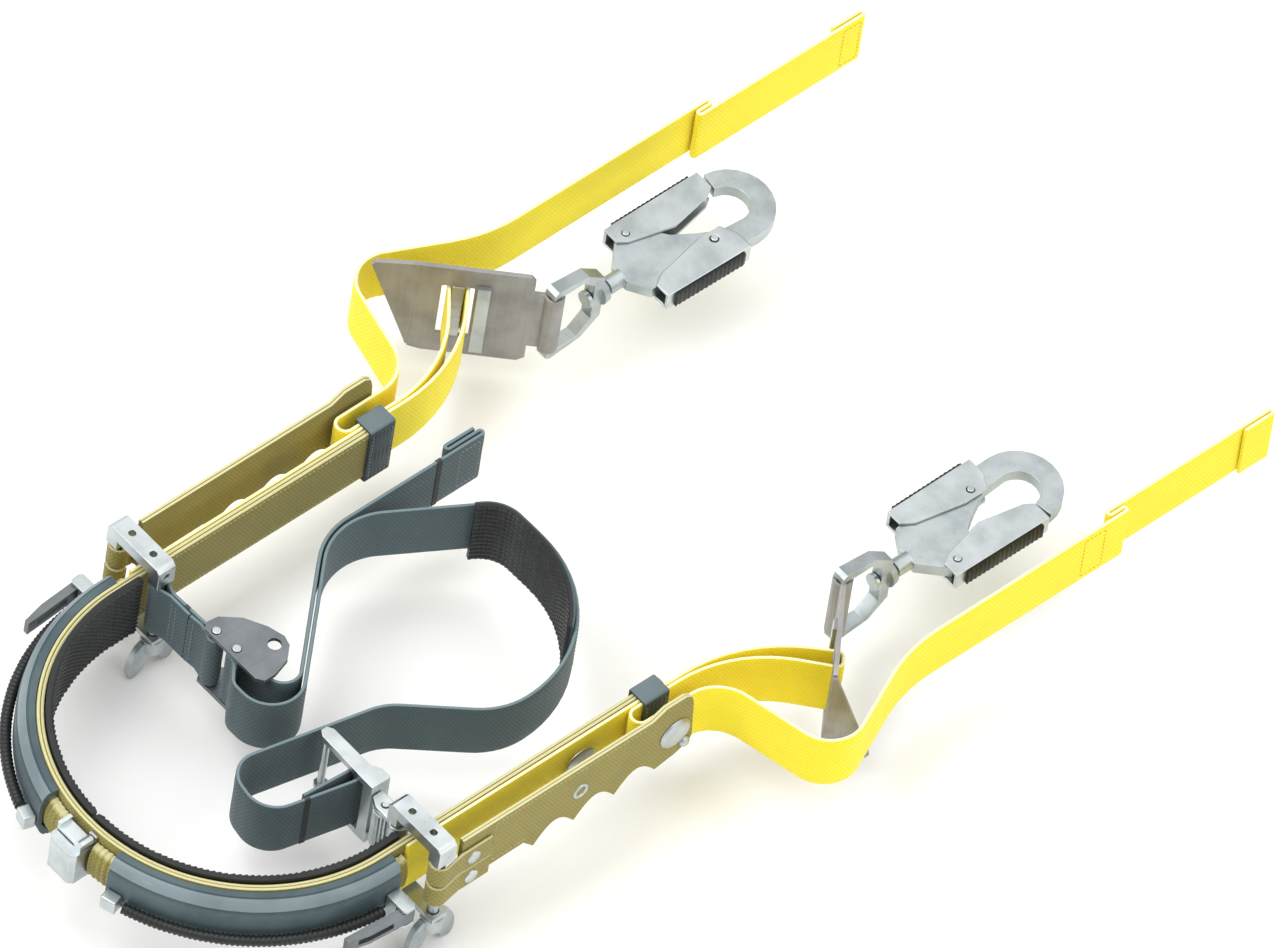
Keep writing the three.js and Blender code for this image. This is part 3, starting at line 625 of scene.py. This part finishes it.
def band():
    """The band's two layers of webbing and the seams that join them."""
    front = BELLY_X - BELLY_R
    corners = [
        [ARM_END, BELLY_R, 0], [front, BELLY_R, BELLY_R], [front, -BELLY_R, BELLY_R], [ARM_END, -BELLY_R, 0],
    ]
    path = respace(route(corners, 3))
    offset, narrower = BAND_THICK / 4, 0.2
    outer = strap_profile(THICK, 0, WEB_WIDTH, offset)
    inner = strap_profile(THICK, narrower, WEB_WIDTH - narrower, -offset)
    sweep("band_outer_layer", path, outer, 1, [OLIVE], "belt", ["inner_band"])
    sweep("band_inner_layer", path, inner, 1, [OLIVE], "belt")

    seams = Stitches()
    length = lengths(path)[-1]
    inset, reach, face = 3.2, 190, BAND_THICK / 2
    for z in (inset, WEB_WIDTH - inset):
        for side in (face, -face):
            seams.along(path, side, z, 4, reach)
            seams.along(path, side, z, length - reach, length - 4)
    for distance in (4, 10, length - 10, length - 4):
        for side in (face, -face):
            seams.across(path, side, distance)
    seams.sew("band_seams", OLIVE_THREAD, "belt")


def ribbed_strip(name, points, way, back, thick, z0, z1, replaces):
    """A rubber strip with rows of saw-toothed ribs on the face away from its back."""
    rows, tooth_pitch = 14, 4.2
    pitch = (z1 - z0) / rows
    direction = math.copysign(1, thick)
    shoulder = back + direction * abs(thick) * 0.6

    def profile(distance):
        tooth = (distance / tooth_pitch) % 1.0
        front = []
        for r in range(rows):
            for part, rise in ((0.08, 0.0), (0.3, 1.0), (0.7, 1.0), (0.92, 0.0)):
                height = abs(thick) * (0.62 + 0.38 * rise * (0.35 + 0.65 * tooth))
                front.append((back + direction * height, z0 + pitch * (r + part)))
        return [(back, z1), (back, z0), (shoulder, z0)] + front + [(shoulder, z1)]

    return sweep(name, points, profile, way, [BLACK_RUBBER], "belt", replaces, sharp=28)


def ringed(shape, pitch, depth):
    """A profile that swells and shrinks along its path. shape holds (place, outward, share of the swell)."""

    def profile(distance):
        swell = depth * (0.5 - 0.5 * math.cos(math.tau * distance / pitch))
        return [(at[0] - swell * share * out[0], at[1] - swell * share * out[1]) for at, out, share in shape]

    return profile


def grip_liner(side_name, way):
    line = respace(belly_line(0.6, -4), RIB_STEP)
    ribbed_strip(f"grip_liner_ribs_{side_name}", line, way, 3.15, 5.4, -5, 47, [f"grip_liner_{side_name}"])


def core_sleeve(side_name, way):
    """The gathered sleeve under the bumper: flat against the band, bulging away from it."""
    low, high, back, front = 7, 37.5, -3, -3.5
    middle, half_height, bulge = (low + high) / 2, 15.2, 8
    shape = [((back, low + 2), (0, 0), 0), ((back, high - 2), (0, 0), 0)]
    for k in range(13):
        a = math.pi / 2 - math.pi * k / 12
        reach = bulge * max(0.0, math.cos(a)) ** 0.7
        shape.append(((front - reach, middle + half_height * math.sin(a)), (-math.cos(a), math.sin(a)), 1))
    sweep(
        f"core_sleeve_{side_name}", respace(belly_line(5.6, -7), 0.95), ringed(shape, 3.8, 1.3), way, [OLIVE],
        "belt", [f"ribbed_core_{side_name}"], sharp=50,
    )


# the upper half of the bumper's outer face: out from the band, z, and 1 where the paler strip runs
BUMPER_HALF = [
    (3.0, 43.3, 0), (5.4, 43.5, 0), (7.2, 43.5, 0), (7.8, 42.7, 0), (8.3, 42.7, 0), (8.8, 43.3, 1),
    (10.4, 42.2, 1), (12.2, 39.8, 1), (13.3, 37.4, 1), (13.4, 36.4, 0), (12.8, 35.8, 0), (12.8, 34.6, 0),
    (13.9, 33.4, 0), (14.5, 30.5, 0), (14.6, 26.0, 0),
]
BUMPER_INSIDE = [(3, 5.5), (8, 6.4), (11.6, 12), (12.1, 17), (12.1, 27.5), (11.6, 32.5), (8, 38.1), (3, 39)]


def bumper_cover(side_name, way):
    """The moulded cover, the same above and below its middle, with two paler strips."""
    lower = [(out, WEB_WIDTH - z, pale) for out, z, pale in BUMPER_HALF[::-1]]
    ring = [(-out, z) for out, z, _ in BUMPER_HALF + lower] + [(-out, z) for out, z in BUMPER_INSIDE]
    tones = [pale for *_, pale in BUMPER_HALF] + [pale for *_, pale in lower[1:]]
    tones += [0] * (len(ring) - len(tones))
    sweep(
        f"bumper_cover_{side_name}", belly_line(13, -16), lambda distance: ring, way,
        [SLATE_RUBBER, LIGHT_RUBBER], "belt", [f"bumper_{side_name}"], tones, sharp=32,
    )


def cable_sheath(side_name, way):
    out, radius, z, sides = 19, 4, 15, 14
    shape = []
    for k in range(sides):
        c, n = math.cos(math.tau * k / sides), math.sin(math.tau * k / sides)
        shape.append(((-out + radius * c, z + radius * n), (c, n), 1))
    sweep(
        f"cable_sheath_{side_name}", respace(belly_line(19.5, -30, 86), 0.7), ringed(shape, 2.8, 0.85), way,
        [BLACK_RUBBER], "belt", [f"tension_cable_{side_name}"], sharp=60,
    )


band()
for side_name, way in SIDES:
    grip_liner(side_name, way)
    core_sleeve(side_name, way)
    bumper_cover(side_name, way)
    cable_sheath(side_name, way)

# ---- arm webbing ----------------------------------------------------------------------------------
RUN_A = BELLY_R + BAND_THICK / 2 + GAP + THICK / 2 + 0.2
RUN_B = RUN_A + 3
TAIL_START_Y, TAIL_Y = 146, 199.5
PIVOT, ALONG = Vector((304, 179)), Vector((math.sqrt(0.5), -math.sqrt(0.5)))


def on_plate(along_plate, out):
    """A place on the adjuster plate, from its pivot: along the plate and out from its face."""
    across = Vector((-ALONG.y, ALONG.x))
    return list(PIVOT + ALONG * along_plate + across * out)


fold_r, hem_r = (TAIL_START_Y - RUN_B) / 2, LAYER / 2
arm_corners = [
    [-4, RUN_A, 0], [266, RUN_A, 110], [*on_plate(6.1, 4.9), 4], [*on_plate(-6.1, 4.9), 4], [257, RUN_B, 95],
    [172, RUN_B, fold_r], [172, TAIL_START_Y, fold_r], [236, 146.5, 28], [258, 240, 24], [346, TAIL_Y, 110],
    [527, TAIL_Y, hem_r], [527, TAIL_Y - LAYER, hem_r], [515, TAIL_Y - LAYER, hem_r],
    [515, TAIL_Y - 2 * LAYER, hem_r], [651, TAIL_Y - 2 * LAYER, hem_r], [651, TAIL_Y - LAYER, hem_r],
    [627, TAIL_Y - LAYER, 0],
]
arm_route = respace(route(arm_corners))
arm_run = lengths(arm_route)
STITCH_FACE = 1.3  # from a strap's middle to the face that its seams are sewn on


def nearest(points, run, x, y):
    """The distance along a path of its point closest to a place."""
    return min(zip(points, run), key=lambda pair: (pair[0] - Vector((x, y))).length)[1]


def arm_webbing(side_name, way):
    """The yellow webbing, with its end hem, its stepped hem and the box seam near the clamp."""
    strap(
        f"webbing_strap_{side_name}", route(arm_corners), way, YELLOW, "belt", "yellow_webbing",
        [f"arm_webbing_{side_name}"],
    )
    seams = Stitches(way)
    hem = nearest(arm_route, arm_run, 640, TAIL_Y - 2 * LAYER)
    step = nearest(arm_route, arm_run, 505, TAIL_Y)
    seams.box(arm_route, -STITCH_FACE, step - 14, step + 3, cross=False)
    seams.box(arm_route, STITCH_FACE, hem - 8, hem + 6, cross=False)
    seams.box(arm_route, STITCH_FACE, 20, 62)
    seams.sew(f"webbing_seams_{side_name}", YELLOW_THREAD, "belt")


for side_name, way in SIDES:
    arm_webbing(side_name, way)

# ---- inner strap ----------------------------------------------------------------------------------
INNER_TAIL_Y = 83.5
inner_corners = [
    [-30, -63.6, 0], [3, -65.8, 30], [13.6, -65.4, 4], [13.6, -74.6, 4], [3, -74.2, 30], [-60, -60.5, 20],
    [-53, -17, 18], [56, -40, 40], [112.7, -88, 50], [221, -88, 88], [219, 34.5, 28], [124, 90, 45],
    [-9, -31.4, 22], [-9, 28, 10], [2.4, 40, 7], [2.4, 48.8, 4.4], [11.6, 48.8, 4.4], [11.6, -8.1, 12],
    [111.8, INNER_TAIL_Y, 50], [243, INNER_TAIL_Y, hem_r], [243, INNER_TAIL_Y + LAYER, hem_r],
    [216, INNER_TAIL_Y + LAYER, hem_r], [216, INNER_TAIL_Y + 2 * LAYER, hem_r],
    [240, INNER_TAIL_Y + 2 * LAYER, 0],
]
inner_route = respace(route(inner_corners))
inner_run = lengths(inner_route)
PAD_START, PAD_END = 415, 545


def inner_strap():
    strap("inner_strap_webbing", route(inner_corners), 1, SLATE, "belt", "slate_webbing", ["inner_strap"])
    seams = Stitches()
    seams.box(inner_route, STITCH_FACE, 66, 96)
    seams.along(inner_route, STITCH_FACE, 5, 4, 26)
    tail = nearest(inner_route, inner_run, 228, INNER_TAIL_Y)
    seams.box(inner_route, STITCH_FACE, tail - 6, tail + 10, cross=False)
    seams.box(inner_route, STITCH_FACE, PAD_START + 4, PAD_END - 4, cross=False)
    seams.sew("inner_strap_seams", GREY_THREAD, "belt")


def pole_pad():
    """The ribbed pad on the inner strap and its backing."""
    line = respace(stretch_of(inner_route, PAD_START, PAD_END), RIB_STEP)
    ribs = ribbed_strip("pole_pad_ribs", line, 1, -3.0, -3.5, -5.4, 48.4, ["pole_pad"])
    section = strap_profile(1.4, -6, 49, -2.3, 0)
    backing = sweep("pole_pad_backing", respace(line, 3), section, 1, [SLATE_RUBBER], "belt")


inner_strap()
pole_pad()

# ---- arm plates, keepers and the anchor strap -----------------------------------------------------
CLAMP_X, OUTER_BOLT_Y, INNER_BOLT_Y = 5, 152.5, 113.5
PLATE_IN, PLATE_OUT = 150.5, 154.5
PLATE_LOW, PLATE_HIGH, PLATE_START, PLATE_END = 8.5, 53, 21, 209
GRIP_PITCH, GRIP_FIRST, GRIP_COUNT, GRIP_CUSP, GRIP_CREST = 33, 84, 3, -0.5, 13
TABS = ((6.5, 24), (26, 43.5))
INNER_LAYER_SCALE = (0.9975, 1 - 0.25 / 30)  # the hidden layer of the plate is cut slightly smaller


def plate_outline(scale_x=1.0, scale_z=1.0):
    """The finger-grip plate in x and z: straight on top, scalloped below, raised at its far end."""
    edge = [(PLATE_START, PLATE_LOW), (GRIP_FIRST - 9, PLATE_LOW + 1)]
    for i in range(GRIP_COUNT):
        x = GRIP_FIRST + i * GRIP_PITCH
        for k in range(12):
            lift = math.sin(math.pi * k / 12)
            edge.append((x + GRIP_PITCH * k / 12, GRIP_CUSP + (GRIP_CREST - GRIP_CUSP) * lift))
    edge += [
        (GRIP_FIRST + GRIP_COUNT * GRIP_PITCH, GRIP_CUSP), (PLATE_END - 10, 3), (PLATE_END + 1, 8),
        (PLATE_END + 3, 13), (PLATE_END, 48), (PLATE_END - 2, 55), (PLATE_END - 7, 58.5), (186, 58.5),
        (175, PLATE_HIGH), (PLATE_START, PLATE_HIGH),
    ]
    mid_x, mid_z = (PLATE_START + PLATE_END) / 2, (PLATE_LOW + PLATE_HIGH) / 2
    return [(mid_x + (x - mid_x) * scale_x, mid_z + (z - mid_z) * scale_z) for x, z in edge]


def tab_line():
    """A tab's path: out along the plate, round the bolt and back inside it."""
    radius = 6.2
    wrap = []
    for k in range(21):
        a = math.radians(90 + 200 * k / 20)
        wrap.append(Vector((CLAMP_X + radius * math.cos(a), OUTER_BOLT_Y + radius * math.sin(a))))
    return respace([Vector((44, PLATE_OUT + 1.5)), Vector((20, PLATE_OUT + 1.6))] + wrap, 2.0)


def plate_layers(side_name, way, body):
    def upright(a, b, height):
        return place(a, way * height, b)

    half, slit = (PLATE_OUT - PLATE_IN) / 2, 0.1
    hidden = (PLATE_IN, PLATE_IN + half - slit, INNER_LAYER_SCALE, [])
    outer = (PLATE_IN + half + slit, PLATE_OUT, (1.0, 1.0), [f"outer_plate_{side_name}"])
    for layer, (y0, y1, scale, replaces) in enumerate((hidden, outer)):
        slab(
            f"plate_layer_{layer}_{side_name}", plate_outline(*scale), y0, y1, upright, OLIVE, body,
            replaces, width=0.45, flip=way > 0,
        )


def plate_fittings(side_name, way, body):
    """The plate's two tabs with their rivets, its button, its pin and its eyelet."""
    outward = (0, way, 0)
    for z0, z1 in TABS:
        strap(
            f"plate_tab_{z0:.0f}_{side_name}", tab_line(), way, OLIVE, body, "olive_webbing",
            thick=2.2, z0=z0, z1=z1,
        )
        lathe(
            f"tab_rivet_{z0:.0f}_{side_name}", (29, way * (PLATE_OUT + 2.4), (z0 + z1) / 2), outward,
            dome(5.2, 2.0), STEEL, body,
        )
    face = way * PLATE_OUT
    lathe(f"plate_button_{side_name}", (196, face, 27), outward, dome(12, 3.2), STEEL, body)
    lathe(f"plate_pin_{side_name}", (205, face, 12), outward, dome(4, 3.4), CAST, body)
    rim = eyelet(3.6, 6.2, 0.9)
    ring_lathe(f"plate_eyelet_{side_name}", (119, face, 28), outward, rim, STEEL, body)


def plate_seams(side_name, way, body):
    seams = Stitches(way)
    face, low, high = PLATE_OUT + 0.05, PLATE_LOW + 5, PLATE_HIGH - 3
    start, short_end, long_end = 48, 76, 170
    seams.line((start, face, high), (long_end, face, high), (0, 1, 0))
    seams.line((start, face, low), (short_end, face, low), (0, 1, 0))
    seams.line((start, face, low), (start, face, high), (0, 1, 0))
    seams.sew(f"plate_seams_{side_name}", OLIVE_THREAD, body)


def keeper_sleeve(side_name, way):
    """The sleeve that holds the folded webbing to the band, and its seams."""
    wall, soft_edge, slack, lining = 2.0, 0.35, 0.5, 0.02
    start, end = 184, 204
    inner_y, outer_y = BELLY_R - BAND_THICK / 2 - slack, RUN_B + THICK / 2 + slack
    low, high = -slack, WEB_WIDTH + slack
    loop = []
    for y, z, first in ((outer_y, high, 0), (inner_y, high, 90), (inner_y, low, 180), (outer_y, low, 270)):
        for k in range(5):
            a = math.radians(first + 22.5 * k)
            loop.append((y, z, math.cos(a), math.sin(a)))
    sections = (
        (start, wall - soft_edge), (start + 0.5, wall), (end - 0.5, wall), (end, wall - soft_edge),
        (end, lining), (start, lining),
    )
    rings = [[(x, y + out * c, z + out * n) for y, z, c, n in loop] for x, out in sections]
    size = len(loop)
    verts = [place(x, way * y, z) for ring in rings for x, y, z in ring]
    faces, uvs = [], []
    for i in range(len(rings)):
        n = (i + 1) % len(rings)
        u0, u1 = rings[i][0][0] * MM, rings[n][0][0] * MM
        for j in range(size):
            k = (j + 1) % size
            v0, v1 = j * THICK * MM, (j + 1) * THICK * MM
            faces.append((i * size + j, i * size + k, n * size + k, n * size + j))
            uvs.append(((v0, u0), (v1, u0), (v1, u1), (v0, u1)))
    faces, uvs = mirrored(faces, way), mirrored(uvs, way)
    replaces = [f"keeper_{side_name}"]
    build(f"keeper_sleeve_{side_name}", verts, faces, [KEEPER], "belt", replaces, uvs)

    seams = Stitches(way)
    for x in (start + 2.2, end - 2.2):
        seams.line((x, outer_y + wall, 2), (x, outer_y + wall, WEB_WIDTH - 2), (0, 1, 0))
        seams.line((x, inner_y - wall, 2), (x, inner_y - wall, WEB_WIDTH - 2), (0, -1, 0))
    seams.sew(f"keeper_seams_{side_name}", GREY_THREAD, "belt")


for side_name, way in SIDES:
    plate_body = f"arm_plate_{side_name}"
    plate_layers(side_name, way, plate_body)
    plate_fittings(side_name, way, plate_body)
    plate_seams(side_name, way, plate_body)
    keeper_sleeve(side_name, way)


def loop_points(cx, cy, radius, start, end):
    """An arc of a strap round a bar, between two angles in degrees."""
    angles = [math.radians(start + (end - start) * k / 24) for k in range(25)]
    return [Vector((cx + radius * math.cos(a), cy + radius * math.sin(a))) for a in angles]


def anchor_strap():
    """One length round the bolt and the buckle's bar, sewn together between them."""
    bar_x, bar_y = 6, 62
    apart = 1.3
    line = (
        [Vector((CLAMP_X - apart, 84)), Vector((CLAMP_X - apart, 102))]
        + loop_points(CLAMP_X, INNER_BOLT_Y, 5.4, 230, -50)
        + [Vector((CLAMP_X + apart, 102)), Vector((bar_x + apart, 74))]
        + loop_points(bar_x, bar_y, 4.9, 50, -230)
        + [Vector((bar_x - apart, 74)), Vector((CLAMP_X - apart, 83))]
    )
    strap("anchor_strap_webbing", line, 1, SLATE, "belt", "slate_webbing", ["anchor_strap"])
    seams = Stitches()
    for x, out in ((CLAMP_X + 2.6, 1), (CLAMP_X - 2.4, -1)):
        for y in (79, 83, 95, 99):
            seams.line((x, y, 4), (x, y, WEB_WIDTH - 4), (out, 0, 0))
    seams.sew("anchor_strap_seams", GREY_THREAD, "belt")


anchor_strap()

# ---- rubber grips on the hooks, and a lock bar on each adjuster -----------------------------------
EYE_REACH = 59.8
HOOK_X, HOOK_Y = 402, PIVOT.y + ALONG.y * EYE_REACH
# part, its start and end along the hook, its place across at each end, and the way it faces
GRIPS = (("gate", 22, 84, 31.0, 31.0, 1), ("lock", 18, 74, -32.65, -33.35, -1))


def hook_grip(part, u0, u1, v0, v1, out, side_name, way):
    """A ribbed rubber bar on the outward edge of a lever, in the hook's own u and v."""
    line = respace([Vector((HOOK_X + u0, HOOK_Y + v0)), Vector((HOOK_X + u1, HOOK_Y + v1))], 0.8)
    rib_pitch, low_rise, rib, half_face, half_back = 3.6, 1.9, 0.7, 4.6, 5.6

    def profile(distance):
        rise = low_rise + rib * (0.5 + 0.5 * math.cos(math.tau * distance / rib_pitch))
        half = (
            (0, -half_back), (rise - 0.8, -6.2), (rise, -half_face), (rise, half_face), (rise - 0.8, 6.2),
            (0, half_back),
        )
        return [(-out * a, MID_Z + b) for a, b in half]

    sweep(
        f"hook_{part}_grip_{side_name}", line, profile, way, [BLACK_RUBBER], f"{part}_{side_name}",
        sharp=45,
    )


def lock_bar(side_name, way):
    """The bright bar on the adjuster plate, beside the webbing's slot."""
    low, high = (-13.4, 48.9) if way > 0 else (-4.4, 57.9)
    start, end = 11.9, 20.1

    def on_plate_face(a, b, out):
        x, y = on_plate(a, out)
        return place(x, way * y, b)

    slab(
        f"lock_bar_{side_name}", [(start, low), (end, low), (end, high), (start, high)], -4.2, -3.3,
        on_plate_face, STEEL, f"adjuster_{side_name}", width=0.3, flip=way > 0,
    )


for side_name, way in SIDES:
    lock_bar(side_name, way)
    for numbers in GRIPS:
        hook_grip(*numbers, side_name, way)


# ---- black marker bands round the grey straps -----------------------------------------------------
def marker_band(name, points, distance):
    half_width, over = 1.8, 0.5
    strap(
        name, stretch_of(points, distance - half_width, distance + half_width), 1, BLACK_WEB, "belt",
        "black_rubber", thick=LAYER, z0=-over, z1=WEB_WIDTH + over,
    )


marker_band("inner_strap_band_frame", inner_route, nearest(inner_route, inner_run, -30, -67))
marker_band("inner_strap_band_tail", inner_route, nearest(inner_route, inner_run, 206, INNER_TAIL_Y))
marker_band("anchor_strap_band", [Vector((CLAMP_X + 1.4, 92)), Vector((CLAMP_X + 1.4, 86))], 3)

# ---- the button on each yellow strap --------------------------------------------------------------
for side_name, way in SIDES:
    on_strap = (135, way * (RUN_B + THICK / 2), 24.5)
    lathe(f"strap_disc_{side_name}", on_strap, (0, way, 0), dome(12, 1.6), STEEL, "belt")

# ---- the CAD solids that stay, each with its material and the width of its rounded edges ----------
SIDE_FINISHES = {
    "bridge_bar": (STEEL, 0.9), "lower_bar": (STEEL, 0.7), "inner_bolt": (STEEL, 0.4),
    "outer_bolt": (STEEL, 0.4), "inner_wing_nut": (CAST, 1.0), "outer_wing_nut": (CAST, 1.0),
    "cable_block": (STEEL, 1.0), "toggle_base": (STEEL, 0.6), "toggle_lever": (DARK_STEEL, 0.8),
    "adjuster_plate": (GREY_STEEL, 0.7), "webbing_bar": (STEEL, 0.5), "swivel_eye": (CAST, 1.6),
    "hook_body": (CAST, 3.0), "hook_gate": (STEEL, 0.7), "lock_lever": (STEEL, 0.7),
    "gate_pin": (STEEL, 0.6), "lock_pin": (STEEL, 0.6),
}
SINGLE_FINISHES = {
    "centre_buckle_box": (STEEL, 1.2), "centre_latch_lever": (STEEL, 0.6), "buckle_frame": (DARK_STEEL, 0.7),
    "buckle_anchor_bar": (STEEL, 0.5), "buckle_strap_bar": (STEEL, 0.5), "strap_frame": (STEEL, 0.9),
    "cam_link": (STEEL, 0.7), "ribbed_drum": (STEEL, 0.3),
}
for side_name, _ in SIDES:
    for part, (material, width) in SIDE_FINISHES.items():
        carried(f"{part}_{side_name}", material, width)
for node, (material, width) in SINGLE_FINISHES.items():
    carried(node, material, width)

# ---- floor, light and finish ----------------------------------------------------------------------
FLOOR_REACH = 30  # metres from the middle to each edge, so that no edge shows
floor_z = CAD_BOX[0].z
floor_corners = [(x * FLOOR_REACH, y * FLOOR_REACH, floor_z) for x, y in ((-1, -1), (1, -1), (1, 1), (-1, 1))]
floor_mesh = bpy.data.meshes.new("floor")
floor_mesh.from_pydata(floor_corners, [], [(0, 1, 2, 3)])
floor = bpy.data.objects.new("floor", floor_mesh)
bpy.context.scene.collection.objects.link(floor)
floor_mesh.materials.append(Graph("studio_floor", roughness=0.9).finish(linear(246, 246, 245)))


def area_light(name, direction, distance, size, power):
    light = bpy.data.objects.new(name, bpy.data.lights.new(name, "AREA"))
    light.data.size = size
    light.data.energy = power
    light.location = Vector(direction).normalized() * distance
    light.rotation_mode = "QUATERNION"
    light.rotation_quaternion = Vector(direction).to_track_quat("Z", "Y")
    light.visible_camera = False
    bpy.context.scene.collection.objects.link(light)


area_light("key", (-0.9, 0.5, 1.5), 3.2, 2.4, 70)
area_light("fill", (0.5, -1.2, 1.1), 3.4, 3.0, 44)
area_light("top", (0.2, 0.1, 1), 3.0, 3.0, 38)

world = bpy.data.worlds.new("studio")
bpy.context.scene.world = world
world.use_nodes = True
world.node_tree.nodes["Background"].inputs["Color"].default_value = (1, 1, 1, 1)
world.node_tree.nodes["Background"].inputs["Strength"].default_value = 0.55
bpy.context.scene.view_settings.view_transform = "Standard"
